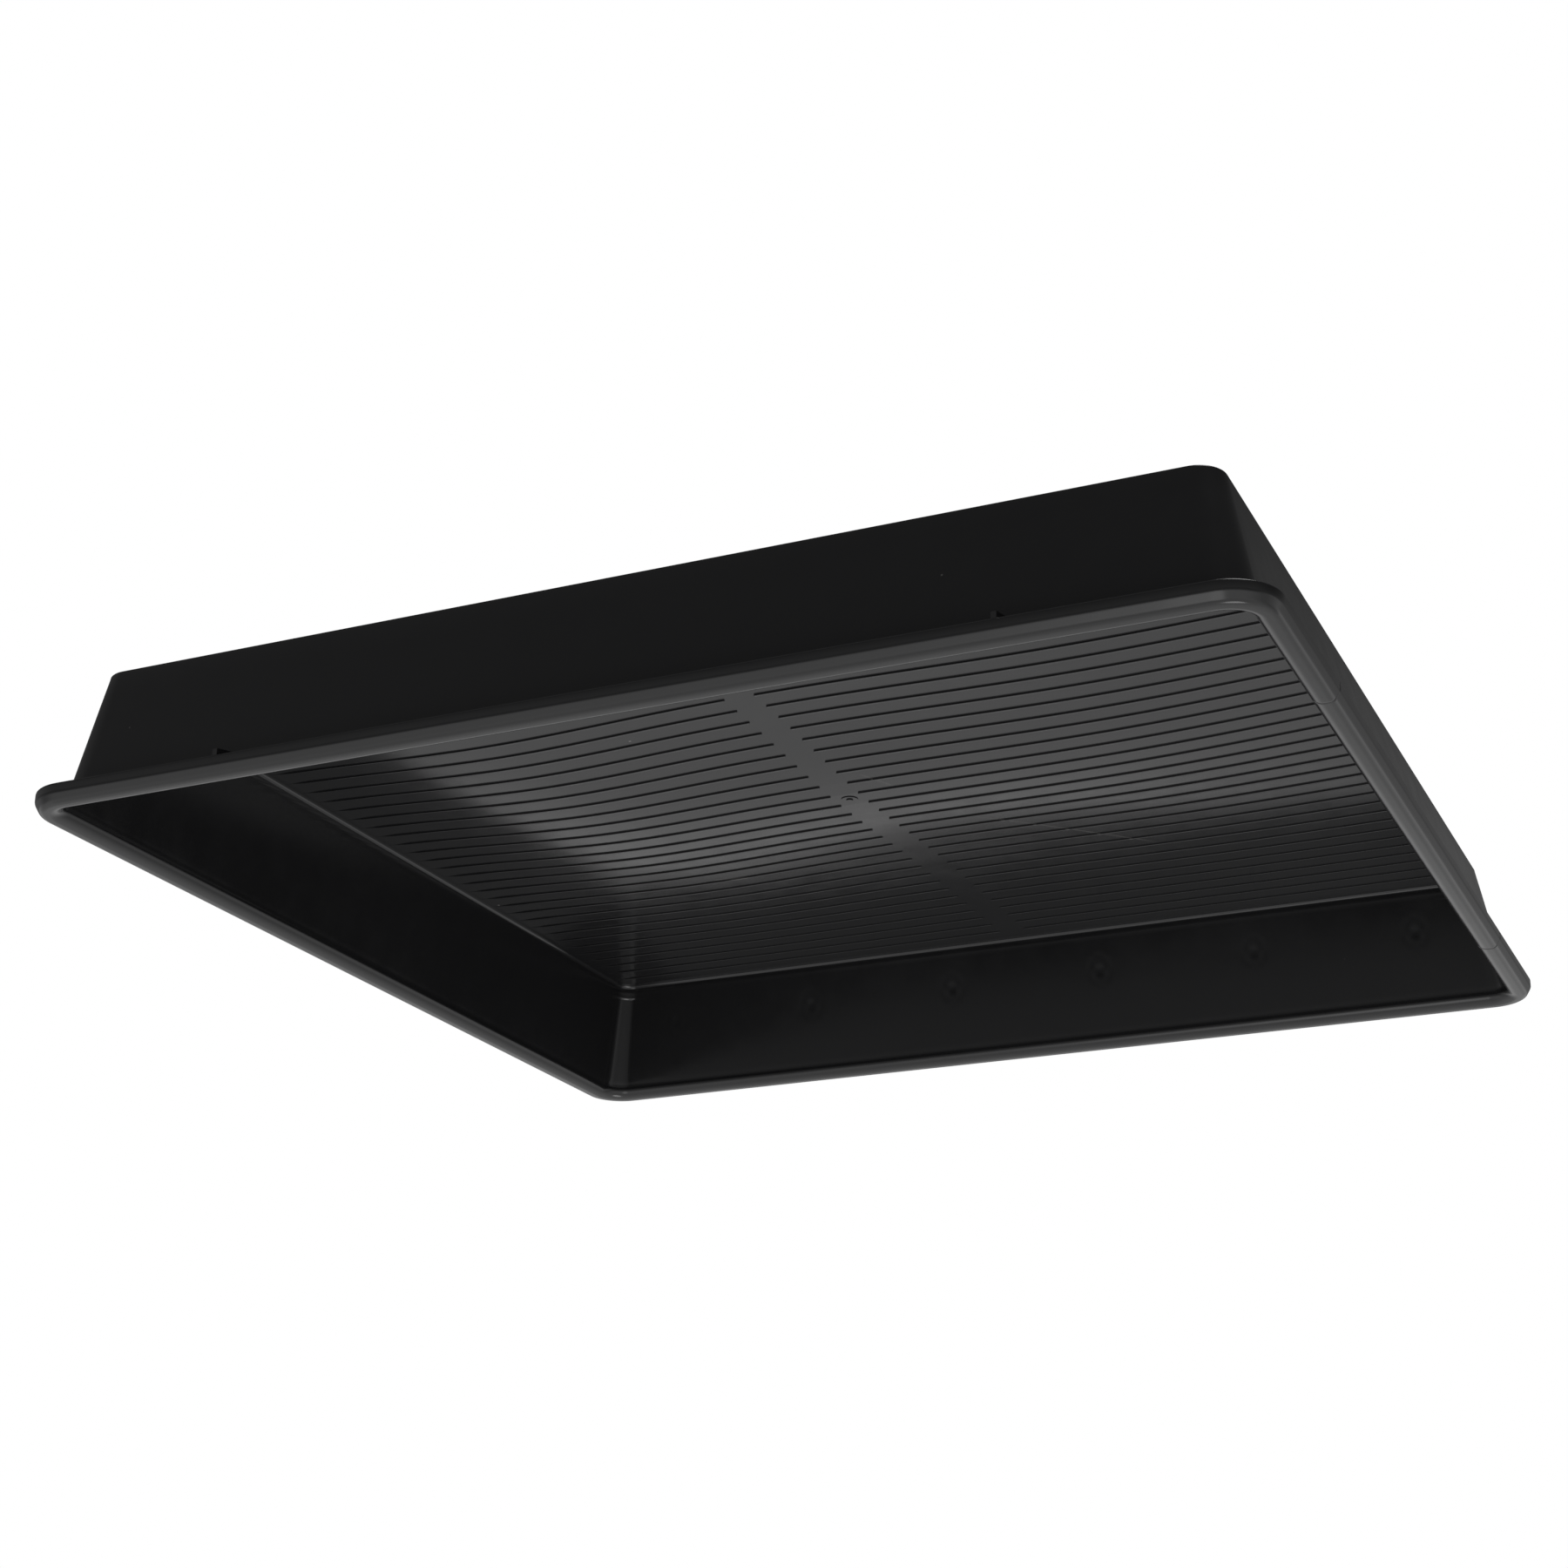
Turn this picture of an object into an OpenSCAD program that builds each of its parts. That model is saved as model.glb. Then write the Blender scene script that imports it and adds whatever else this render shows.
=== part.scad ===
// Roof vent lid with a continuous pin hinge along its rear wall.
// X runs along the hinge, +Y points to the hinge side, +Z is up.
// The origin is the centre of the opening, on the plane that the rim rests on.

/* [Lid] */
// Size of the rim along the hinge
lid_w = 400; // [380:1:420]
// Size of the rim across the hinge
lid_d = 395.6; // [380:0.1:420]
// Height of the lid, from the rim's underside to the panel's top
lid_h = 49.1; // [46:0.1:54]
// Plan radius of the rim's outer corners
rim_r = 19; // [19:0.5:22]
// Thickness of the walls and of the rim
wall_t = 1.8; // [1.6:0.1:2]
// Thickness of the top panel
panel_t = 2.4; // [1.8:0.1:3]
// Distance from the rim's outer edge in to the panel's top edge
rim_inset = 15.4; // [15:0.1:15.6]
// How far each wall leans out from its top to its foot
draft = 8.3; // [7.8:0.1:8.4]
// Radius of the panel's top edge
edge_r = 0.8; // [0.6:0.1:2]
// Radius between the ceiling and the walls
fillet_r = 1.5; // [1:0.1:1.7]

/* [Rolled rim] */
// Radius of the underside where the wall flares out into the rim
flare_r = 4.1; // [3.8:0.1:4.2]
// Radius of the rim's outer bottom edge
toe_r = 3.5; // [3.4:0.1:4.2]
// Height of the upturned lip
lip_h = 6.6; // [6:0.1:6.8]
// Thickness of the webs that cross the rim's channel
web_t = 1.6; // [1.2:0.1:2]
// Height of a web at the lip
web_lip_h = 8.7; // [7.6:0.1:8.8]
// Height of a web at the wall
web_wall_h = 10.2; // [9.6:0.1:10.6]
// Distance of the webs from the lid's centre line, on the front and rear walls
web_x = 125; // [100:1:140]
// Distance of the webs from the lid's centre line, on the side walls
web_y = 121; // [100:1:140]

/* [Ceiling ribs] */
// Distance from one rib to the next
rib_pitch = 9.65; // [9.5:0.05:9.75]
// Number of rib rows on each side of the centre line
rib_rows = 18; // [10:1:18]
// Height of a rib below the ceiling
rib_h = 0.5; // [0.3:0.1:0.8]
// Width of a rib
rib_w = 0.8; // [0.6:0.1:1.2]
// Width of the plain band down the middle of the ceiling
spine_w = 10.4; // [8:0.2:14]

/* [Hinge] */
// Length of the hinge
hinge_l = 340; // [338:1:344]
// Number of knuckles along the hinge
knuckles = 17; // [11:2:21]
// Gap between one knuckle and the next
knuckle_gap = 0.4; // [0.3:0.1:0.8]
// Outer radius of a knuckle
knuckle_r = 3.2; // [3.1:0.1:3.4]
// Thickness of the hinge leaves
leaf_t = 1.5; // [1.2:0.1:1.5]
// Radius of the hinge pin
pin_r = 1.6; // [1.4:0.05:1.6]
// Running clearance of the lid's knuckles round the pin
pin_play = 0.05; // [0.02:0.01:0.1]
// Height of the hinge pin's axis above the rim's underside
axis_z = 13; // [12.5:0.1:13.5]
// Height of the top of the lid's leaf
leaf_top = 38; // [36:0.5:42]
// Depth of the base's leaf behind the hinge pin
base_leaf_d = 28.1; // [24:0.1:30]
// Step down from the base's knuckles to the leaf that is screwed down
joggle = 0.3; // [0.2:0.1:0.6]
// Clearance between the lid's leaf and the base's knuckles
notch_gap = 0.5; // [0.4:0.1:0.8]

/* [Hinge fasteners] */
// Spacing of the screws along the lid's leaf
screw_pitch = 63.4; // [60:0.1:64]
// Height of the lid's screws
screw_z = 30; // [28:0.5:31]
// Outer radius of the screw bosses on the rear wall
boss_r = 4.2; // [3.8:0.1:5]
// Radius of a screw's thread
screw_r = 1.75; // [1.5:0.05:2]
// Length of a screw's thread beyond the leaf
screw_l = 5.4; // [5:0.1:5.6]
// Radius of a screw's head
head_r = 3.6; // [3.2:0.1:4]
// Height of a screw's head
head_h = 2.2; // [1.6:0.1:2.2]
// Outer radius of a washer
washer_r = 4.5; // [4.2:0.1:4.8]
// Thickness of a washer
washer_t = 0.8; // [0.5:0.1:1]
// Radius of the screw holes in both leaves and the washers
hole_r = 2.25; // [2.1:0.05:2.5]
// Spacing of the screw holes along the base's leaf
base_pitch = 95; // [90:1:98]
// Distance of the base's holes behind the hinge pin
base_hole_d = 17.1; // [16:0.1:20]

/* [Hidden] */

arc_steps = 8;
corner_fn = 96;
overlap = 0.2;

// Centres of the corner arcs: the walls and the rim are swept round them.
corner_x = lid_w / 2 - rim_r;
corner_y = lid_d / 2 - rim_r;

// Distances out from the corner centres, and heights, of the swept section.
top_r = rim_r - rim_inset;
foot_r = top_r + draft;
inner_top_r = top_r - wall_t;
flare_x = foot_r - wall_t + flare_r;
toe_x = rim_r - toe_r;
lip_r = wall_t / 2;
ceiling_z = lid_h - panel_t;

// Hinge places.
wall_foot_y = corner_y + foot_r;
wall_lean = draft / (lid_h - edge_r - flare_r);
leaf_y = wall_foot_y;
axis_y = leaf_y + knuckle_r;
base_z = axis_z - knuckle_r - joggle;
seat_gap = 1;
seat_y = corner_y + rim_r + seat_gap;
joggle_l = 1;
knuckle_l = hinge_l / knuckles;
tab_w = knuckle_l - knuckle_gap;
notch = knuckle_r + notch_gap;
cap_r = 3;
cap_t = 3;
cap_gap = 0.3;
cap_wall = 1;
pilot_tip = 0.2;
boss_root = 0.1;
screw_xs = [for (i = [-2.5 : 1 : 2.5]) i * screw_pitch];
base_hole_xs = [for (i = [-1.5 : 1 : 1.5]) i * base_pitch];

function arc(centre, r, from, to) =
    [for (i = [0 : arc_steps])
        let (a = from + (to - from) * i / arc_steps)
        centre + r * [cos(a), sin(a)]];

// The lid's section, outwards from a corner centre: the panel, the wall and the
// rim, which flares out, turns up at its toe and ends in a rounded lip.
section = concat(
    [[0, lid_h]],
    arc([top_r - edge_r, lid_h - edge_r], edge_r, 90, 0),
    arc([flare_x, flare_r], flare_r - wall_t, 180, 270),
    arc([toe_x, toe_r], toe_r - wall_t, 270, 360),
    arc([rim_r - lip_r, lip_h - lip_r], lip_r, 180, 0),
    arc([toe_x, toe_r], toe_r, 0, -90),
    arc([flare_x, flare_r], flare_r, 270, 180),
    arc([inner_top_r - fillet_r, ceiling_z - fillet_r], fillet_r, 0, 90),
    [[0, ceiling_z]]);

// A web's outline: it stands on the middle of the rim's thickness.
web_outline = concat(
    arc([flare_x, flare_r], flare_r - wall_t / 2, 180, 270),
    arc([toe_x, toe_r], toe_r - wall_t / 2, 270, 360),
    [[rim_r - lip_r / 2, lip_h - lip_r], [rim_r - lip_r / 2, web_lip_h],
     [foot_r - wall_t / 2, web_wall_h]]);

// Stands an outline up on the wall that faces the angle given: its first axis
// points out of the wall, its second points up, and it is as long as given.
module on_wall(angle, out, along, length) {
    rotate([0, 0, angle]) translate([out, along, 0])
        rotate([90, 0, 0]) linear_extrude(length, center = true) children();
}

module swept_section() {
    for (angle = [0, 180]) on_wall(angle, corner_x, 0, 2 * corner_y) polygon(section);
    for (angle = [90, 270]) on_wall(angle, corner_y, 0, 2 * corner_x) polygon(section);
    for (mx = [0, 1], my = [0, 1])
        mirror([mx, 0, 0]) mirror([0, my, 0]) translate([corner_x, corner_y, 0])
            rotate_extrude(angle = 90, $fn = corner_fn) polygon(section);
}

module panel_slab() {
    translate([-corner_x, -corner_y, ceiling_z])
        cube([2 * corner_x, 2 * corner_y, panel_t]);
}

module ceiling_ribs() {
    rib_l = corner_x + inner_top_r + wall_t / 2 - spine_w / 2;
    for (side = [0, 1], row = [0.5 - rib_rows : 1 : rib_rows - 0.5])
        mirror([side, 0, 0])
            translate([spine_w / 2, row * rib_pitch - rib_w / 2, ceiling_z - rib_h])
                cube([rib_l, rib_w, rib_h + overlap]);
}

module rim_webs() {
    for (angle = [0, 180], side = [-1, 1])
        on_wall(angle, corner_x, side * web_y, web_t) polygon(web_outline);
    for (angle = [90, 270], side = [-1, 1])
        on_wall(angle, corner_y, side * web_x, web_t) polygon(web_outline);
}

// A round bar along +Y that starts at the place given.
module bar_y(x, y, z, r, length) {
    translate([x, y, z]) rotate([-90, 0, 0]) cylinder(r = r, h = length, $fn = 48);
}

module lid_shell() {
    boss_y = wall_foot_y - wall_lean * (screw_z + boss_r - flare_r) - boss_root;
    color([0.035, 0.035, 0.038])
    difference() {
        union() {
            swept_section();
            panel_slab();
            ceiling_ribs();
            rim_webs();
            for (x = screw_xs) bar_y(x, boss_y, screw_z, boss_r, leaf_y - boss_y);
        }
        for (x = screw_xs)
            bar_y(x, leaf_y - screw_l - pilot_tip, screw_z, screw_r, screw_l + pilot_tip + overlap);
    }
}

// Every second knuckle along the hinge, starting with the one given.
module knuckle_row(first) {
    for (i = [first : 2 : knuckles - 1])
        translate([(i + 0.5) * knuckle_l - hinge_l / 2, axis_y, axis_z]) children();
}

module knuckle_barrel() {
    rotate([0, 90, 0]) cylinder(r = knuckle_r, h = tab_w, center = true, $fn = 64);
}

module pin_bore(r) {
    translate([-hinge_l / 2 - overlap, axis_y, axis_z])
        rotate([0, 90, 0]) cylinder(r = r, h = hinge_l + 2 * overlap, $fn = 64);
}

module lid_hinge_leaf() {
    color([0.62, 0.63, 0.65])
    difference() {
        union() {
            translate([-hinge_l / 2, leaf_y, axis_z + notch])
                cube([hinge_l, leaf_t, leaf_top - axis_z - notch]);
            knuckle_row(1) knuckle_barrel();
            knuckle_row(1)
                translate([-tab_w / 2, -knuckle_r, 0]) cube([tab_w, leaf_t, notch + overlap]);
        }
        pin_bore(pin_r + pin_play);
        for (x = screw_xs) bar_y(x, leaf_y - overlap, screw_z, hole_r, leaf_t + 2 * overlap);
    }
}

module lid_leaf_washers() {
    color([0.72, 0.72, 0.74])
    for (x = screw_xs)
        difference() {
            bar_y(x, leaf_y + leaf_t, screw_z, washer_r, washer_t);
            bar_y(x, leaf_y + leaf_t - overlap, screw_z, hole_r, washer_t + 2 * overlap);
        }
}

module lid_leaf_screws() {
    head_y = leaf_y + leaf_t + washer_t;
    color([0.75, 0.75, 0.77])
    for (x = screw_xs)
        union() {
            bar_y(x, leaf_y - screw_l, screw_z, screw_r, head_y + overlap - leaf_y + screw_l);
            bar_y(x, head_y, screw_z, head_r, head_h);
        }
}

module base_hinge_leaf() {
    color([0.60, 0.61, 0.63])
    difference() {
        union() {
            translate([-hinge_l / 2, seat_y, base_z])
                cube([hinge_l, axis_y + base_leaf_d - seat_y, leaf_t]);
            knuckle_row(0) knuckle_barrel();
            knuckle_row(0)
                translate([-tab_w / 2, 0, -knuckle_r])
                    cube([tab_w, seat_y + joggle_l - axis_y, leaf_t]);
        }
        pin_bore(pin_r);
        for (x = base_hole_xs)
            translate([x, axis_y + base_hole_d, base_z - overlap])
                cylinder(r = hole_r, h = leaf_t + 2 * overlap, $fn = 48);
    }
}

module hinge_pin() {
    pin_l = hinge_l + 2 * (cap_gap + cap_t - cap_wall);
    color([0.55, 0.56, 0.58])
    translate([0, axis_y, axis_z]) rotate([0, 90, 0])
        cylinder(r = pin_r, h = pin_l, center = true, $fn = 64);
}

// A push-on cap on the pin's end, beyond the last knuckle.
module pin_cap() {
    translate([hinge_l / 2 + cap_gap, axis_y, axis_z]) rotate([0, 90, 0])
        difference() {
            cylinder(r = cap_r, h = cap_t, $fn = 48);
            translate([0, 0, -overlap]) cylinder(r = pin_r, h = cap_t - cap_wall + overlap, $fn = 48);
        }
}

module left_pin_cap() {
    color([0.05, 0.05, 0.05]) mirror([1, 0, 0]) pin_cap();
}

module right_pin_cap() {
    color([0.05, 0.05, 0.05]) pin_cap();
}

lid_shell();
lid_hinge_leaf();
lid_leaf_washers();
lid_leaf_screws();
base_hinge_leaf();
hinge_pin();
left_pin_cap();
right_pin_cap();
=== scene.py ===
import math

import bmesh
import bpy
import numpy as np
from mathutils import Matrix, Vector


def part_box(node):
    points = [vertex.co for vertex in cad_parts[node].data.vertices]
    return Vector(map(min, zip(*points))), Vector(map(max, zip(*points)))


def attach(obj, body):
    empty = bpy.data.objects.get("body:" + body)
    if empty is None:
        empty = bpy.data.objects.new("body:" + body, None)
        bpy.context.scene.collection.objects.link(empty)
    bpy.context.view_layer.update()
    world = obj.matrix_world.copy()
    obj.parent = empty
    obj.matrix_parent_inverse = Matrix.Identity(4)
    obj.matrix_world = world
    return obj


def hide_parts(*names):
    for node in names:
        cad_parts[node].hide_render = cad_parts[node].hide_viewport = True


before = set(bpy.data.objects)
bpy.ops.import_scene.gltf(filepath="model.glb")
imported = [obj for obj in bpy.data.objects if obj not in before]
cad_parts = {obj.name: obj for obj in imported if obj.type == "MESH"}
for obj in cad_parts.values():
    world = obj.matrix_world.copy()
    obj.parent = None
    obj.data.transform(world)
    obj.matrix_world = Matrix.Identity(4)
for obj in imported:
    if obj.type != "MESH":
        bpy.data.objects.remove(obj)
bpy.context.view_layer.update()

MM = 0.001

# The moulding's sizes in millimetres, as the CAD has them apart from RIM_R, which
# belongs to the visual corners. Distances outwards are measured from the centre of a
# wall's corner arc.
SHELL_LO, SHELL_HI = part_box("lid_shell")
LID_W, LID_D, LID_H = (round(side / MM, 2) for side in SHELL_HI - SHELL_LO)
RIM_R = 20.9
WALL_T = 1.8
PANEL_T = 2.4
RIM_INSET = 15.4
DRAFT = 8.3
EDGE_R = 0.8
FILLET_R = 1.5
FLARE_R = 4.1
TOE_R = 3.5
LIP_H = 6.6
CORNER_X = LID_W / 2 - RIM_R
CORNER_Y = LID_D / 2 - RIM_R
TOP_R = RIM_R - RIM_INSET
FOOT_R = TOP_R + DRAFT
INNER_TOP_R = TOP_R - WALL_T
INNER_FOOT_R = FOOT_R - WALL_T
FLARE_X = INNER_FOOT_R + FLARE_R
TOE_X = RIM_R - TOE_R
CEILING_Z = LID_H - PANEL_T

# How much further out than the walls' corner centre each part turns its corners:
# the rim, the top, the inner walls at their foot and below their top band, the band.
RIM_SHIFT = 5.0
TOP_SHIFT = -3.5
INNER_FOOT_SHIFT = 4.0
INNER_TOP_SHIFT = -1.2
BAND_SHIFT = -2.5
BAND_Z = 41.0
BAND_STEP = 0.6
CORNER_STEPS = 16
# Where along a wall its stations begin to spread towards the shifted corner.
STRETCH_FROM = 160.0

# The rim's outer face: a small radius up from the underside, a flat slope, and a
# second radius into the upright lip.
FACE_SLOPE = 60.0
FACE_L = 1.9
LOW_R = 2.4
HIGH_R = 2.2

# Webs across the rim's channel. Those at the sides stop just below the lip.
WEB_T = 1.6
WEB_X = 125.0
WEB_Y = 121.0
WEB_LIP_H = 8.7
SIDE_WEB_LIP_H = LIP_H - 0.4
WEB_WALL_H = 10.2
WEB_CHAMFER = 0.3

# Ribs under the ceiling, on both sides of a plain band.
RIB_PITCH = 9.65
RIB_ROWS = 18
RIB_H = 0.5
RIB_W = 0.8
RIB_EDGE_R = 0.12
RIB_ROOT = 0.7
RIB_FADE_L = 9.0
RIB_END_GAP = 1.5
SPINE_W = 10.4
# The trimmed moulding gate in the middle of the ceiling: its rings' radii and heights.
GATE = ((3.0, 0.25), (1.2, 0.6))

# Screw bosses on the rear wall, with the faint sink marks behind them: how far each
# one's ring and middle reach in, the ring's radius, and how wide the two are.
SCREW_PITCH = 63.4
SCREW_XS = [(i - 2.5) * SCREW_PITCH for i in range(6)]
SCREW_Z = 30.0
SCREW_R = 1.75
BOSS_R = 4.2
BOSS_START = 184.75
BOSS_END = CORNER_Y + FOOT_R
PILOT_START = 185.1
SINK_REACH = 6.0
SINK_RING = 0.05
SINK_RING_R = 4.6
SINK_RING_W = 0.8
SINK_MIDDLE = 0.16
SINK_MIDDLE_W = 1.6
# The fine line across the rim's underside at the right side's webs: how deep, how
# wide, and how far it reaches.
SEAM_DEPTH = 0.16
SEAM_W = 0.3
SEAM_REACH = 1.0

# The hinge.
HINGE_L = 340.0
HALF_HINGE = HINGE_L / 2
KNUCKLES = 17
KNUCKLE_L = HINGE_L / KNUCKLES
KNUCKLE_GAP = 0.4
KNUCKLE_R = 3.2
LEAF_T = 1.5
LEAF_Y = BOSS_END
LEAF_TOP = 38.0
AXIS_Y = LEAF_Y + KNUCKLE_R
AXIS_Z = 13.0
NOTCH_Z = 16.7
NOTCH_D = 8.0
SEAT_Y = 198.8
SEAT_Z = 9.5
BASE_END_Y = 222.0
BASE_HOLE_Y = 211.0
BASE_HOLE_XS = (-142.5, -47.5, 47.5, 142.5)
HOLE_R = 2.25
LEAF_BEVEL = 0.14
PIN_R = 1.6
# The play round the pin in the lid's knuckles and in the base's, and how far a cutter
# reaches past what it cuts and round a knuckle.
LID_PLAY = 0.05
BASE_PLAY = 0.03
PAST = 1.0
KNUCKLE_CUT = 5.0
PIN_END = 172.3
CAP_START = 170.3
WASHER_R = 4.5
WASHER_T = 0.8
HEAD_Y = LEAF_Y + LEAF_T + WASHER_T
HEAD_R = 3.6
HEAD_H = 2.2
SCREW_TIP_Y = 185.3
THREAD_PITCH = 1.4
# How far each screw's cross recess is turned, in degrees.
RECESS_TURNS = (12, 71, 38, 55, 4, 83)

# The plastic's colours and roughness, and what dust and scratches add to them.
PLASTIC = (0.0085, 0.0085, 0.009)
DUST = (0.22, 0.21, 0.20)
ROUGH = 0.17
ROUGH_SPREAD = 0.03
PLASTIC_IOR = 1.5
MARK_ROUGH = 0.35
SCRATCH_TINT = 0.12
# The scratches on the ceiling, in metres: from, to, and half the width. They are on
# surfaces that look down from above a height.
SCRATCHES = (((0.033, 0.034), (0.085, 0.090), 0.0006),
             ((-0.082, 0.060), (-0.066, 0.064), 0.0012),
             ((0.012, -0.020), (0.019, -0.006), 0.0005))
SCRATCHES_ABOVE = 0.035

# The camera's place in the frame, its direction and its lens.
CAMERA_AT = (0.34424, -0.81443, -0.29674)
CAMERA_AZIMUTH = 24.411
CAMERA_RISE = 21.358
CAMERA_ROLL = 0.554
CAMERA_LENS = 61.86
CAMERA_CLIP = (0.01, 50)
SENSOR = 36.0

# The floor: half its side and the distances from the middle over which it fades, in
# metres, its height in millimetres, and its grey and roughness.
FLOOR_HALF = 3.0
FLOOR_FADE = (0.6, 2.6)
FLOOR_Z = -0.3
FLOOR_GREY = 0.80
FLOOR_ROUGH = 0.85

# Lamps: name, size in metres, power in watts, place, and whether glossy surfaces
# mirror it. The second is for the metal parts, which need something to mirror.
LAMPS = (("softbox", 1.4, 22.0, (0.0, 0.1, 1.7), False),
         ("side_softbox", 0.8, 8.0, (0.6, 0.0, 1.9), True))


# ---------------------------------------------------------------- mesh tools

def new_piece(name, verts_mm, faces):
    """A mesh object from vertices in millimetres."""
    mesh = bpy.data.meshes.new(name)
    mesh.from_pydata([tuple(c * MM for c in v) for v in verts_mm], [], faces)
    mesh.validate()
    piece = bpy.data.objects.new(name, mesh)
    bpy.context.scene.collection.objects.link(piece)
    return piece


def smooth_by_angle(piece, degrees):
    """Shades smooth, with an edge sharp where its faces meet at more than the angle."""
    bm = bmesh.new()
    bm.from_mesh(piece.data)
    for face in bm.faces:
        face.smooth = True
    for edge in bm.edges:
        if len(edge.link_faces) == 2:
            edge.smooth = edge.calc_face_angle(0.0) < math.radians(degrees)
    bm.to_mesh(piece.data)
    bm.free()


def face_outwards(piece):
    """Turns every face's normal out of the solid."""
    bm = bmesh.new()
    bm.from_mesh(piece.data)
    bmesh.ops.recalc_face_normals(bm, faces=bm.faces)
    bm.to_mesh(piece.data)
    bm.free()


def apply_modifiers(piece):
    """Keeps what the piece's modifiers make as its mesh, and removes them."""
    evaluated = piece.evaluated_get(bpy.context.evaluated_depsgraph_get())
    mesh = bpy.data.meshes.new_from_object(evaluated)
    piece.modifiers.clear()
    old = piece.data
    piece.data = mesh
    mesh.name = piece.name
    bpy.data.meshes.remove(old)


def combine(piece, other, operation):
    """Joins other to piece, or cuts it out of piece, as solids, and removes other."""
    modifier = piece.modifiers.new("solid", "BOOLEAN")
    modifier.operation = operation
    modifier.solver = "MANIFOLD"
    modifier.object = other
    apply_modifiers(piece)
    bpy.data.objects.remove(other)


def arc(cx, cz, r, start, end, steps):
    """Points round an arc, with one more just off each end to hold the flats flat."""
    angles = np.radians(np.linspace(start, end, steps + 1))
    points = [(cx + r * math.cos(a), cz + r * math.sin(a)) for a in angles]
    turn = math.copysign(1, end - start)
    hold = min(0.4, r * 0.25)

    def beyond(point, angle, way):
        a = math.radians(angle)
        step = way * turn * hold
        return (point[0] - step * math.sin(a), point[1] + step * math.cos(a))

    return [beyond(points[0], start, -1)] + points + [beyond(points[-1], end, 1)]


def lofted(name, loops, closed_ring=False):
    """A solid through loops of equal length. Its ends are capped unless it is a ring."""
    count = len(loops[0])
    verts = [p for loop in loops for p in loop]
    faces = []
    last = len(loops) if closed_ring else len(loops) - 1
    for a in range(last):
        b = (a + 1) % len(loops)
        for i in range(count):
            j = (i + 1) % count
            faces.append((a * count + i, a * count + j, b * count + j, b * count + i))
    if not closed_ring:
        faces.append(tuple(reversed(range(count))))
        faces.append(tuple(range((len(loops) - 1) * count, len(loops) * count)))
    piece = new_piece(name, verts, faces)
    face_outwards(piece)
    return piece


# ---------------------------------------------------------------- the moulding

# Where the panel has sunk: the depth of each hollow, the place of its middle, and
# how far it spreads along X and along Y.
SAGS = [(4.3, -91.0, -20.0, 62.0, 118.0), (2.5, 106.0, -19.0, 67.0, 113.0),
        (2.8, 15.0, 0.0, 81.0, 52.0)]
SAG_EDGE = 12


def sag(x, y):
    """How far the panel has sunk at a place: nothing at the walls, which hold it."""
    edge_x = abs(x / (CORNER_X + INNER_TOP_R)) ** SAG_EDGE
    edge_y = abs(y / (CORNER_Y + INNER_TOP_R)) ** SAG_EDGE
    if edge_x >= 1 or edge_y >= 1:
        return 0.0
    total = sum(depth * math.exp(-((x - at_x) / wide) ** 2 - ((y - at_y) / deep) ** 2)
                for depth, at_x, at_y, wide, deep in SAGS)
    return total * (1 - edge_x) * (1 - edge_y)


def smooth_step(t):
    """0 up to t = 0, 1 from t = 1, and an even curve between."""
    t = min(max(t, 0.0), 1.0)
    return t * t * (3 - 2 * t)


def corner_shift(r, z, part):
    """How much further out than the walls' corner centre a row of the section turns."""
    if part == "channel":
        return RIM_SHIFT * smooth_step((r - FOOT_R) / (TOE_X - FOOT_R))
    if part == "lip":
        return RIM_SHIFT
    if part == "rim":
        part_out = smooth_step((r - INNER_FOOT_R) / (TOE_X - INNER_FOOT_R))
        return INNER_FOOT_SHIFT + (RIM_SHIFT - INNER_FOOT_SHIFT) * part_out
    if part in ("inner", "fillet"):
        up = min((z - FLARE_R) / (BAND_Z - FLARE_R), 1.0)
        below = INNER_FOOT_SHIFT + (INNER_TOP_SHIFT - INNER_FOOT_SHIFT) * up
        return below + (BAND_SHIFT - INNER_TOP_SHIFT) * smooth_step((z - BAND_Z) / BAND_STEP)
    if part == "ceiling":
        return 0.0
    return TOP_SHIFT * min(max((z - FLARE_R) / (LID_H - EDGE_R - FLARE_R), 0.0), 1.0)


def stretched(along, corner, shift):
    """A place along a wall, spread so that the wall's last station meets its corner arc."""
    if abs(along) <= STRETCH_FROM:
        return along
    part = (abs(along) - STRETCH_FROM) / (corner - STRETCH_FROM)
    return math.copysign(STRETCH_FROM + part * (corner + shift - STRETCH_FROM), along)


def rim_face(inset):
    """The rim's outer face from its underside up, moved in by a thickness."""
    slope = math.radians(FACE_SLOPE)
    rise = LOW_R * (1 - math.cos(slope)) + FACE_L * math.sin(slope) + HIGH_R * math.cos(slope)
    low_x = (RIM_R - HIGH_R * (1 - math.sin(slope)) - FACE_L * math.cos(slope)
             - LOW_R * math.sin(slope))
    points = arc(low_x, LOW_R, LOW_R - inset, -90, FACE_SLOPE - 90, 8)
    return points + arc(RIM_R - HIGH_R, rise, HIGH_R - inset, FACE_SLOPE - 90, 0, 6)


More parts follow.
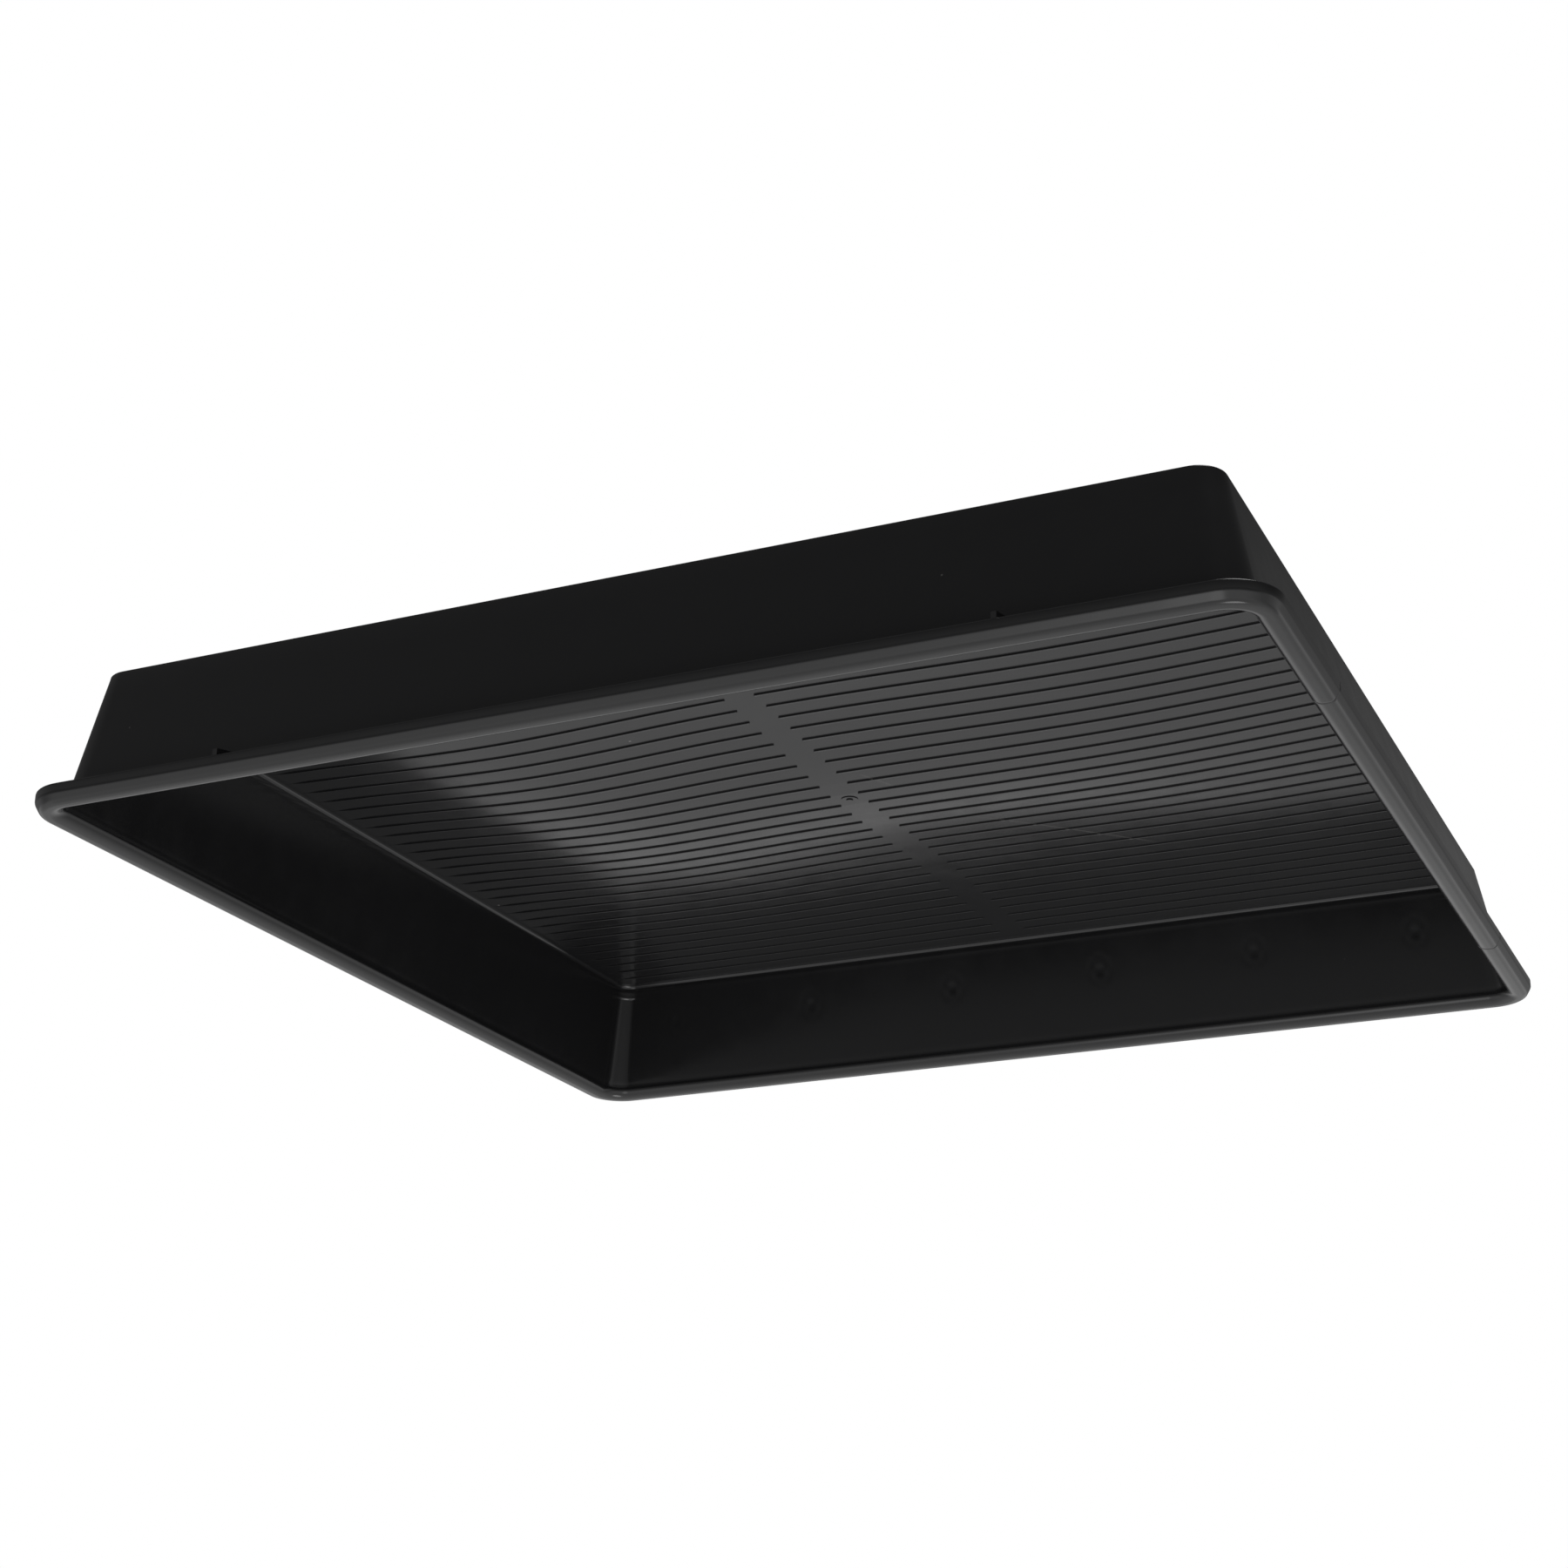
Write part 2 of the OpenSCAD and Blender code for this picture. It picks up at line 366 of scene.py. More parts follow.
def section_rows():
    """The moulding's section as (out, height, part), from its top round to the ceiling."""
    rows = []

    def add(points, part):
        rows.extend((r, z, part) for r, z in points)

    rows.append((0.0, LID_H, "top"))
    rows.append((3.0, LID_H, "top"))
    add(arc(TOP_R - EDGE_R, LID_H - EDGE_R, EDGE_R, 90, 0, 8), "edge")
    add([(TOP_R + DRAFT * t, LID_H - EDGE_R + (FLARE_R - LID_H + EDGE_R) * t)
         for t in (0.2, 0.4, 0.6, 0.8)], "outer")
    add(arc(FLARE_X, FLARE_R, FLARE_R - WALL_T, 180, 270, 12), "channel")
    add(rim_face(WALL_T)[1:-1], "channel")
    add(arc(RIM_R - WALL_T / 2, LIP_H - WALL_T / 2, WALL_T / 2, 180, 0, 10)[1:-1], "lip")
    add(rim_face(0.0)[::-1], "rim")
    add(arc(FLARE_X, FLARE_R, FLARE_R, 270, 180, 20), "rim")
    inner_h = CEILING_Z - FILLET_R - FLARE_R
    heights = sorted([inner_h * i / 24 for i in range(1, 24)]
                     + [BAND_Z - FLARE_R + d for d in (-0.15, 0.0, 0.15, 0.3, 0.45, 0.6, 0.75)])
    add([(INNER_FOOT_R - DRAFT * h / inner_h, FLARE_R + h) for h in heights], "inner")
    add(arc(INNER_TOP_R - FILLET_R, CEILING_Z - FILLET_R, FILLET_R, 0, 90, 8), "fillet")
    rows.append((0.9, CEILING_Z, "ceiling"))
    rows.append((0.0, CEILING_Z, "ceiling"))
    return rows


def grid_lines(half, spots, spread, step, coarse):
    """Places from -half to half: coarse all over, and fine round each spot."""
    lines = set(np.round(np.linspace(-half, half, int(2 * half / coarse) + 1), 3))
    for spot in spots:
        fine = np.round(np.arange(spot - spread, spot + spread + step / 2, step), 3)
        lines = {x for x in lines
                 if abs(x - spot) > spread + step * 0.6 or abs(x) == round(half, 3)}
        lines |= {x for x in fine if abs(x) < half}
    lines |= {round(-half, 3), round(half, 3)}
    return sorted(lines)


def dimple(x, z):
    """How far the rear wall's inside is drawn in behind a screw boss."""
    depth = 0.0
    for spot in SCREW_XS:
        d = math.hypot(x - spot, z - SCREW_Z)
        if d < SINK_REACH:
            ring = SINK_RING * math.exp(-((d - SINK_RING_R) / SINK_RING_W) ** 2)
            middle = SINK_MIDDLE * math.exp(-(d / SINK_MIDDLE_W) ** 2)
            depth = ring + middle
    return depth


def shell_mesh():
    """The panel, walls and rim as one closed surface."""
    rows = section_rows()
    xs = grid_lines(CORNER_X, SCREW_XS, spread=SINK_REACH, step=0.75, coarse=12.0)
    ys = grid_lines(CORNER_Y, [-WEB_Y, WEB_Y], spread=2.0, step=0.25, coarse=10.0)
    stations = []

    def corner(cx, cy, start):
        for k in range(1, CORNER_STEPS):
            a = math.radians(start + 90 * k / CORNER_STEPS)
            stations.append((cx, cy, math.cos(a), math.sin(a), True))

    stations += [(CORNER_X, y, 1, 0, False) for y in ys]
    corner(CORNER_X, CORNER_Y, 0)
    stations += [(x, CORNER_Y, 0, 1, False) for x in reversed(xs)]
    corner(-CORNER_X, CORNER_Y, 90)
    stations += [(-CORNER_X, y, -1, 0, False) for y in reversed(ys)]
    corner(-CORNER_X, -CORNER_Y, 180)
    stations += [(x, -CORNER_Y, 0, -1, False) for x in xs]
    corner(CORNER_X, -CORNER_Y, 270)

    verts = []
    faces = []

    def add(x, y, z):
        verts.append((x, y, z))
        return len(verts) - 1

    top, ceiling = {}, {}
    for x in xs:
        for y in ys:
            down = sag(x, y)
            top[x, y] = add(x, y, LID_H - down)
            ceiling[x, y] = add(x, y, CEILING_Z - down)
    for i in range(len(xs) - 1):
        for j in range(len(ys) - 1):
            a, b = (xs[i], ys[j]), (xs[i + 1], ys[j])
            c, d = (xs[i + 1], ys[j + 1]), (xs[i], ys[j + 1])
            faces.append((top[a], top[b], top[c], top[d]))
            faces.append((ceiling[d], ceiling[c], ceiling[b], ceiling[a]))

    columns = []
    for bx, by, nx, ny, turning in stations:
        column = [top[bx, by]]
        for r, z, part in rows[1:-1]:
            shift = corner_shift(r, z, part)
            if part == "inner" and ny == 1:
                r += dimple(bx, z)
            if part == "rim" and nx == 1:
                r, z = seam(r, z, by)
            if turning:
                x = bx + math.copysign(1, bx) * shift + nx * (r - shift)
                y = by + math.copysign(1, by) * shift + ny * (r - shift)
            elif nx:
                x, y = bx + nx * r, stretched(by, CORNER_Y, shift)
            else:
                x, y = stretched(bx, CORNER_X, shift), by + ny * r
            down = sag(x, y) if part in ("top", "edge", "fillet", "ceiling") else 0.0
            column.append(add(x, y, z - down))
        column.append(ceiling[bx, by])
        columns.append(column)
    for k, column in enumerate(columns):
        after = columns[(k + 1) % len(columns)]
        for m in range(len(rows) - 1):
            quad = []
            for v in (column[m], column[m + 1], after[m + 1], after[m]):
                if v not in quad:
                    quad.append(v)
            if len(quad) > 2:
                faces.append(tuple(quad))
    piece = new_piece("lid_moulding", verts, faces)
    face_outwards(piece)
    return piece


def seam(r, z, y):
    """The rim's underside at a web: a fine line where it has shrunk."""
    away = min(abs(y - WEB_Y), abs(y + WEB_Y))
    if away < SEAM_REACH:
        pull = SEAM_DEPTH * math.exp(-(away / SEAM_W) ** 2)
        d = math.hypot(r - TOE_X, z - TOE_R) or 1
        r -= pull * (r - TOE_X) / d
        z -= pull * (z - TOE_R) / d
    return r, z


def rib_loop(x, y, half_w, depth):
    """A rib's cross-section: rounded at the bottom, and buried in the panel at the top."""
    down = sag(x, y)
    foot = CEILING_Z - down - depth
    head = CEILING_Z - down + RIB_ROOT
    r = min(RIB_EDGE_R, half_w * 0.9, depth * 0.6)
    points = [(-half_w, head), (-half_w, foot + r)]
    points += [(-half_w + r * (1 - math.cos(a)), foot + r * (1 - math.sin(a)))
               for a in np.radians((22.5, 45, 67.5, 90))]
    points += [(half_w - r * (1 - math.sin(a)), foot + r * (1 - math.cos(a)))
               for a in np.radians((0, 22.5, 45, 67.5))]
    points += [(half_w, foot + r), (half_w, head)]
    return [(x, y + dy, z) for dy, z in points]


def rib(side, y):
    """One rib, from its round end beside the middle band until it fades at the wall."""
    start = SPINE_W / 2
    half = RIB_W / 2
    end = CORNER_X + INNER_TOP_R - FILLET_R - RIB_END_GAP
    fade_from = end - RIB_FADE_L
    loops = []
    for a in np.radians((12, 35, 60, 90)):
        x = start + half * (1 - math.cos(a))
        loops.append((x, half * math.sin(a), RIB_H * (0.55 + 0.45 * math.sin(a))))
    for x in np.linspace(start + half + 4, fade_from, 26):
        loops.append((x, half, RIB_H))
    for t in (0.25, 0.5, 0.75, 1.0):
        loops.append((fade_from + RIB_FADE_L * t, half * (1 - 0.3 * t),
                      RIB_H * (1 - 0.93 * smooth_step(t))))
    return lofted("rib", [rib_loop(side * x, y, w, d) for x, w, d in loops])


def web(angle, along, out, lip_h):
    """A thin web across the rim's channel, on the middle of the rim's thickness."""
    outline = arc(FLARE_X, FLARE_R, FLARE_R - WALL_T / 2, 180, 270, 10)[1:-1]
    outline += arc(TOE_X, TOE_R, TOE_R - WALL_T / 2, 270, 360, 8)[1:-1]
    edge = RIM_R - WALL_T / 4
    outline += [(edge, LIP_H - WALL_T / 2), (edge, lip_h - WEB_CHAMFER),
                (edge - WEB_CHAMFER, lip_h), (FOOT_R - WALL_T / 2, WEB_WALL_H)]
    turn = Matrix.Rotation(math.radians(angle), 3, "Z")
    loops = []
    for t in (-WEB_T / 2, WEB_T / 2):
        loops.append([tuple(turn @ Vector((out + r, along + t, z))) for r, z in outline])
    return lofted("web", loops)


def full_turn(steps):
    """The cosine and sine of each step round a circle."""
    return [(math.cos(a), math.sin(a))
            for a in np.linspace(0, 2 * math.pi, steps, endpoint=False)]


def tube_y(name, x, z, start, end, outer, chamfer=0.2):
    """A round bar along +Y with a small chamfer at its far end."""
    rows = ((start, outer), (end - chamfer, outer), (end, outer - chamfer))
    return lofted(name, [[(x + r * c, y, z + r * s) for c, s in full_turn(40)]
                         for y, r in rows])


def joined(name, pieces):
    """One object that holds all the pieces' meshes."""
    bm = bmesh.new()
    for piece in pieces:
        bm.from_mesh(piece.data)
        bpy.data.objects.remove(piece)
    mesh = bpy.data.meshes.new(name)
    bm.to_mesh(mesh)
    bm.free()
    whole = bpy.data.objects.new(name, mesh)
    bpy.context.scene.collection.objects.link(whole)
    return whole


def make_moulding():
    """The lid's shell with its ribs, gate, webs, bosses and pilot holes."""
    piece = shell_mesh()
    rows = [(n + 0.5) * RIB_PITCH for n in range(-RIB_ROWS, RIB_ROWS)]
    ribs = [rib(side, y) for side in (-1, 1) for y in rows]
    combine(piece, joined("ribs", ribs), "UNION")
    level = CEILING_Z - sag(0, 0)
    for r, height in GATE:
        combine(piece, tube_z(0, 0, level - height, level + PAST, r), "UNION")
    webs = [web(a, s * WEB_Y, CORNER_X, SIDE_WEB_LIP_H) for a in (0, 180) for s in (-1, 1)]
    webs += [web(a, s * WEB_X, CORNER_Y, WEB_LIP_H) for a in (90, 270) for s in (-1, 1)]
    combine(piece, joined("webs", webs), "UNION")
    bosses = [tube_y("boss", x, SCREW_Z, BOSS_START, BOSS_END, BOSS_R) for x in SCREW_XS]
    combine(piece, joined("bosses", bosses), "UNION")
    pilots = [tube_y("pilot", x, SCREW_Z, PILOT_START, BOSS_END + PAST, SCREW_R) for x in SCREW_XS]
    combine(piece, joined("pilots", pilots), "DIFFERENCE")
    smooth_by_angle(piece, degrees=32)
    return piece


# ---------------------------------------------------------------- the hinge

def bevelled(piece, width, degrees=35):
    """Rounds a piece's sharp edges and shades it smooth."""
    modifier = piece.modifiers.new("bevel", "BEVEL")
    modifier.width = width * MM
    modifier.segments = 2
    modifier.limit_method = "ANGLE"
    modifier.angle_limit = math.radians(degrees)
    modifier.use_clamp_overlap = True
    apply_modifiers(piece)
    smooth_by_angle(piece, degrees=40)
    return piece


def block(lo, hi):
    """A cutter with square corners."""
    loops = [[(x, lo[1], lo[2]), (x, hi[1], lo[2]), (x, hi[1], hi[2]), (x, lo[1], hi[2])]
             for x in (lo[0], hi[0])]
    return lofted("block", loops)


def tube_z(x, y, start, end, r):
    """A round bar along Z."""
    return lofted("tube", [[(x + r * c, y + r * s, z) for c, s in full_turn(40)]
                           for z in (start, end)])


def turned_x(name, rows):
    """A piece turned about the hinge pin's axis, from its (x, radius) rows."""
    return lofted(name, [[(x, AXIS_Y + r * c, AXIS_Z + r * s) for c, s in full_turn(48)]
                         for x, r in rows])


def turned_washer(x, rows):
    """A washer turned about a screw's axis, from its (y, radius) rows."""
    return lofted("washer", [[(x + r * c, y, SCREW_Z + r * s) for c, s in full_turn(48)]
                             for y, r in rows], closed_ring=True)


def curl(r, start, end, steps):
    """Points round the hinge pin's axis."""
    return [(AXIS_Y + r * math.cos(a), AXIS_Z + r * math.sin(a))
            for a in np.radians(np.linspace(start, end, steps + 1))]


def rolled_strip(name, outline):
    """A strip as long as the hinge, with one edge rolled round the pin."""
    return lofted(name, [[(x, y, z) for y, z in outline] for x in (-HALF_HINGE, HALF_HINGE)])


def knuckle_gaps(first):
    """Where a leaf gives way to the other's knuckles, which begin with the one given."""
    gaps = []
    for i in range(first, KNUCKLES, 2):
        left = i * KNUCKLE_L - HALF_HINGE
        right = left + KNUCKLE_L
        gaps.append((left - KNUCKLE_GAP / 2 - (i == 0),
                     right + KNUCKLE_GAP / 2 + (i == KNUCKLES - 1)))
    return gaps


def make_lid_leaf():
    """The leaf on the lid: up from its knuckles along the rear wall."""
    face = LEAF_Y + LEAF_T
    outline = [(LEAF_Y, LEAF_TOP)] + curl(KNUCKLE_R, 180, 476, 44)
    outline += curl(PIN_R + LID_PLAY, 474, 180, 36) + [(face, AXIS_Z + 0.4), (face, LEAF_TOP)]
    leaf = rolled_strip("lid_leaf", outline)
    cuts = [block((a, LEAF_Y - PAST, AXIS_Z - KNUCKLE_CUT), (b, LEAF_Y + NOTCH_D, NOTCH_Z))
            for a, b in knuckle_gaps(0)]
    combine(leaf, joined("cuts", cuts), "DIFFERENCE")
    holes = [tube_y("hole", x, SCREW_Z, LEAF_Y - PAST, face + PAST, HOLE_R, chamfer=0.0)
             for x in SCREW_XS]
    combine(leaf, joined("holes", holes), "DIFFERENCE")
    return bevelled(leaf, LEAF_BEVEL)


def make_base_leaf():
    """The leaf on the vent's base: flat behind its knuckles, one small step down."""
    floor_z = AXIS_Z - KNUCKLE_R
    face = floor_z + LEAF_T
    outline = [(BASE_END_Y, SEAT_Z), (SEAT_Y + 1.1, SEAT_Z), (SEAT_Y - 0.1, floor_z),
               (AXIS_Y + 1.0, floor_z)]
    outline += curl(KNUCKLE_R, 270, -26, 44) + curl(PIN_R + BASE_PLAY, -24, 270, 36)
    outline += [(AXIS_Y + 0.5, face), (SEAT_Y + 0.1, face), (SEAT_Y + 1.3, SEAT_Z + LEAF_T),
                (BASE_END_Y, SEAT_Z + LEAF_T)]
    leaf = rolled_strip("base_leaf", outline)
    cuts = [block((a, LEAF_Y - PAST, AXIS_Z - KNUCKLE_CUT), (b, SEAT_Y, AXIS_Z + KNUCKLE_CUT))
            for a, b in knuckle_gaps(1)]
    for side in (-1, 1):
        ends = sorted((side * (HALF_HINGE - KNUCKLE_GAP / 2), side * (HALF_HINGE + PAST)))
        cuts.append(block((ends[0], LEAF_Y - PAST, AXIS_Z - KNUCKLE_CUT),
                          (ends[1], SEAT_Y, AXIS_Z + KNUCKLE_CUT)))
    combine(leaf, joined("cuts", cuts), "DIFFERENCE")
    holes = [tube_z(x, BASE_HOLE_Y, SEAT_Z - PAST, SEAT_Z + LEAF_T + PAST, HOLE_R)
             for x in BASE_HOLE_XS]
    combine(leaf, joined("holes", holes), "DIFFERENCE")
    return bevelled(leaf, LEAF_BEVEL)


def make_pin():
    """The hinge pin, with a rounded edge at each end."""
    rows = [(PIN_END, PIN_R - 0.35), (PIN_END - 0.12, PIN_R - 0.12), (PIN_END - 0.35, PIN_R)]
    rows += [(x, PIN_R) for x in np.linspace(PIN_END - 1, 0, 12)]
    rows += [(-x, r) for x, r in reversed(rows[:-1])]
    pin = turned_x("pin", rows)
    smooth_by_angle(pin, degrees=40)
    return pin


def make_cap(side):
    """A push-on cap: a flange against the knuckle, and a dome over the pin's end."""
    profile = [(0.0, 2.0), (0.0, 2.85), (0.12, 3.0), (0.5, 3.0), (0.68, 2.9), (0.78, 2.7),
               (1.0, 2.52), (1.9, 2.45), (2.35, 2.3), (2.7, 1.95), (2.92, 1.3), (3.0, 0.5)]
    bore = [(2.05, 0.4), (2.05, 1.5), (1.9, 1.6), (0.15, 1.62)]
    ring = turned_x("cap", [(side * (CAP_START + d), r) for d, r in profile + bore])
    smooth_by_angle(ring, degrees=40)
    return ring


def make_washers():
    """Six washers, in one piece of the model because they are alike."""
    inner, outer, start, end = HOLE_R, WASHER_R, HEAD_Y - WASHER_T, HEAD_Y
    rows = [(start + 0.04, inner), (start, inner + 0.06), (start, outer - 0.22),
            (start + 0.06, outer - 0.07), (start + 0.22, outer), (end - 0.1, outer),
            (end - 0.03, outer - 0.03), (end, outer - 0.1), (end, inner + 0.2),
            (end - 0.06, inner + 0.06), (end - 0.2, inner)]
    washers = joined("washers", [turned_washer(x, rows) for x in SCREW_XS])
    smooth_by_angle(washers, degrees=50)
    return washers


def screw(x):
    """A pan head over a threaded shank."""
    top = HEAD_Y + HEAD_H
    rows = [(top, 0.9), (top - 0.02, 1.6), (top - 0.12, 2.2), (top - 0.34, 2.75),
            (top - 0.7, 3.2), (top - 1.15, 3.48), (top - 1.6, HEAD_R), (HEAD_Y + 0.14, HEAD_R),
            (HEAD_Y + 0.04, HEAD_R - 0.04), (HEAD_Y, HEAD_R - 0.14), (HEAD_Y, 1.9),
            (HEAD_Y - 0.1, 1.6), (HEAD_Y - 0.6, 1.5)]
    steps = 40
    turn = 2 * math.pi / steps
    loops = [[(x + r * math.cos(k * turn), y, SCREW_Z + r * math.sin(k * turn))
              for k in range(steps)] for y, r in rows]
    for y in np.arange(HEAD_Y - 0.8, SCREW_TIP_Y + 0.05, -0.14):
        taper = min((y - SCREW_TIP_Y) / 1.6, 1.0)
        loop = []
        for k in range(steps):
            phase = (y / THREAD_PITCH + k / steps) % 1.0
            crest = max(0.0, 1 - abs(phase - 0.5) / 0.28)
            r = (0.25 + 1.0 * taper) + 0.48 * crest * min(taper * 1.2, 1.0)
            loop.append((x + r * math.cos(k * turn), y, SCREW_Z + r * math.sin(k * turn)))
        loops.append(loop)
    return lofted("screw", loops)


def recess(x, degrees):
    """The cutter for a cross recess."""
    loops = []
    for up, reach, half in ((2.6, 2.15, 0.52), (2.2, 1.95, 0.46), (1.0, 1.05, 0.34),
                            (0.7, 0.5, 0.3)):
        corners = []
        for quarter in range(4):
            a = math.radians(degrees + 90 * quarter)
            along, across = (math.cos(a), math.sin(a)), (-math.sin(a), math.cos(a))
            for s, t in ((half, -half), (reach, -half), (reach, half)):
                corners.append((x + s * along[0] + t * across[0], HEAD_Y + up,
                                SCREW_Z + s * along[1] + t * across[1]))
        loops.append(corners)
    return lofted("recess", loops)


def make_screws():
    """Six screws with their cross recesses, each turned its own way."""
    screws = joined("screws", [screw(x) for x in SCREW_XS])
    recesses = [recess(x, a) for x, a in zip(SCREW_XS, RECESS_TURNS)]
    combine(screws, joined("recesses", recesses), "DIFFERENCE")
    smooth_by_angle(screws, degrees=38)
    return screws


# ---------------------------------------------------------------- materials

def material(name):
    """A new material, its node tree and its shader."""
    made = bpy.data.materials.new(name)
    made.use_nodes = True
    return made, made.node_tree, made.node_tree.nodes["Principled BSDF"]


def node(tree, kind, **inputs):
    """A shader node, with values for its sockets by name."""
    made = tree.nodes.new(kind)
    for key, value in inputs.items():
        made.inputs[key.replace("_", " ")].default_value = value
    return made


def noise(tree, coords, scale, detail=3.0, roughness=0.5, stretch=None):
    """Noise over the object's own coordinates, in features per metre."""
    made = node(tree, "ShaderNodeTexNoise", Scale=scale, Detail=detail, Roughness=roughness)
    source = coords
    if stretch:
        mapping = node(tree, "ShaderNodeMapping", Scale=stretch)
        tree.links.new(coords, mapping.inputs["Vector"])
        source = mapping.outputs[0]
    tree.links.new(source, made.inputs["Vector"])
    return made.outputs["Fac"]


def ranged(tree, value, lo, hi, to_lo, to_hi, smooth=False):
    """The value's place between lo and hi, carried over to between to_lo and to_hi."""
    made = node(tree, "ShaderNodeMapRange", From_Min=lo, From_Max=hi, To_Min=to_lo, To_Max=to_hi)
    if smooth:
        made.interpolation_type = "SMOOTHSTEP"
    tree.links.new(value, made.inputs["Value"])
    return made.outputs[0]


def maths(tree, operation, a, b=None):
    """A Math node on numbers or sockets."""
    made = tree.nodes.new("ShaderNodeMath")
    made.operation = operation
    for socket, value in zip(made.inputs, (a, b)):
        if value is None:
            continue
        if isinstance(value, (int, float)):
            socket.default_value = value
        else:
            tree.links.new(value, socket)
    return made.outputs[0]


def colour_mix(tree, factor):
    """A colour Mix node: its two colour sockets and its output."""
    made = tree.nodes.new("ShaderNodeMix")
    made.data_type = "RGBA"
    tree.links.new(factor, made.inputs["Factor"])
    return made.inputs[6], made.inputs[7], made.outputs[2]


def tinted(tree, factor, dark, light):
    """A colour between dark and light."""
    first, second, colour = colour_mix(tree, factor)
    first.default_value = (*dark, 1)
    second.default_value = (*light, 1)
    return colour


def bumped(tree, shader, heights):
    """Bump from (height, strength, depth in metres) layers, the first one underneath."""
    normal = None
    for height, strength, depth in heights:
        made = node(tree, "ShaderNodeBump", Strength=strength, Distance=depth)
        tree.links.new(height, made.inputs["Height"])
        if normal:
            tree.links.new(normal, made.inputs["Normal"])
        normal = made.outputs[0]
    tree.links.new(normal, shader.inputs["Normal"])


def scratch(tree, coords, start, end, half_width):
    """1 along a straight scratch on the ceiling between two places in metres, else 0."""
    (ax, ay), (bx, by) = start, end
    length = math.hypot(bx - ax, by - ay)
    ux, uy = (bx - ax) / length, (by - ay) / length
    split = tree.nodes.new("ShaderNodeSeparateXYZ")
    tree.links.new(coords, split.inputs[0])
    x = maths(tree, "SUBTRACT", split.outputs["X"], ax)
    y = maths(tree, "SUBTRACT", split.outputs["Y"], ay)
    along = maths(tree, "ADD", maths(tree, "MULTIPLY", x, ux), maths(tree, "MULTIPLY", y, uy))
    across = maths(tree, "SUBTRACT", maths(tree, "MULTIPLY", x, uy),
                   maths(tree, "MULTIPLY", y, ux))
    near = ranged(tree, maths(tree, "ABSOLUTE", across), half_width * 0.4, half_width, 1, 0)
    inside = maths(tree, "MULTIPLY", ranged(tree, along, 0, length * 0.1, 0, 1),
                   ranged(tree, along, length * 0.9, length, 1, 0))
    high = maths(tree, "GREATER_THAN", split.outputs["Z"], SCRATCHES_ABOVE)
    return maths(tree, "MULTIPLY", maths(tree, "MULTIPLY", near, inside), high)


def moulded_black():
    """Black moulded plastic with a little dust, and scratches on the ceiling."""
    made, tree, shader = material("moulded_black")
    place = tree.nodes.new("ShaderNodeTexCoord")
    coords = place.outputs["Object"]
    broad = noise(tree, coords, 14.0, 2.0)
    cloudy = noise(tree, coords, 90.0, 4.0, 0.6)
    grain = noise(tree, coords, 2600.0, 2.0)
    marks = [scratch(tree, coords, *line) for line in SCRATCHES]
    worn = marks[0]
    for mark in marks[1:]:
        worn = maths(tree, "MAXIMUM", worn, mark)
    facing = node(tree, "ShaderNodeSeparateXYZ")
    tree.links.new(place.outputs["Normal"], facing.inputs[0])
    looks_down = maths(tree, "LESS_THAN", facing.outputs["Z"], 0.0)
    worn = maths(tree, "MULTIPLY", worn, looks_down)
    specks = node(tree, "ShaderNodeTexVoronoi", Scale=55.0, Randomness=1.0)
    tree.links.new(coords, specks.inputs["Vector"])
    dust = ranged(tree, specks.outputs["Distance"], 0.012, 0.03, 1, 0)
    dust = maths(tree, "MULTIPLY", dust, ranged(tree, cloudy, 0.5, 0.62, 0, 0.6))
    light = maths(tree, "MAXIMUM", dust, maths(tree, "MULTIPLY", worn, SCRATCH_TINT))
    tree.links.new(tinted(tree, light, PLASTIC, DUST), shader.inputs["Base Color"])
    fine = ranged(tree, cloudy, 0.3, 0.7, ROUGH - ROUGH_SPREAD, ROUGH + ROUGH_SPREAD)
    rough = maths(tree, "ADD", fine, ranged(tree, broad, 0.3, 0.7, -0.02, 0.02))
    rough = maths(tree, "ADD", rough, maths(tree, "MULTIPLY", light, MARK_ROUGH))
    tree.links.new(rough, shader.inputs["Roughness"])
    shader.inputs["IOR"].default_value = PLASTIC_IOR
    bumped(tree, shader, [(broad, 0.25, 0.0006), (grain, 0.1, 0.00002), (worn, 0.3, -0.00003)])
    return made


def plated_steel(name, dark, light, rough, grain_scale, stretch):
    """Zinc-plated or bare steel with its rolling or turning marks."""
    made, tree, shader = material(name)
    coords = tree.nodes.new("ShaderNodeTexCoord").outputs["Object"]
    cloudy = noise(tree, coords, 120.0, 5.0, 0.65)
    spangle = noise(tree, coords, 900.0, 2.0)
    lines = noise(tree, coords, grain_scale, 3.0, 0.6, stretch)
    mottled = maths(tree, "ADD", maths(tree, "MULTIPLY", cloudy, 0.7),
                    maths(tree, "MULTIPLY", spangle, 0.3))
    colour = tinted(tree, ranged(tree, mottled, 0.32, 0.68, 0, 1), dark, light)
    tree.links.new(colour, shader.inputs["Base Color"])
    shader.inputs["Metallic"].default_value = 1.0
    wear = node(tree, "ShaderNodeNewGeometry").outputs["Pointiness"]
    rubbed = ranged(tree, wear, 0.5, 0.6, 0, 0.12)
    base = maths(tree, "ADD", ranged(tree, lines, 0.3, 0.7, rough - 0.07, rough + 0.07),
                 ranged(tree, cloudy, 0.3, 0.7, -0.05, 0.05))
    tree.links.new(maths(tree, "SUBTRACT", base, rubbed), shader.inputs["Roughness"])
    bumped(tree, shader, [(cloudy, 0.15, 0.0001), (lines, 0.25, 0.00003)])
    return made


# ---------------------------------------------------------------- studio

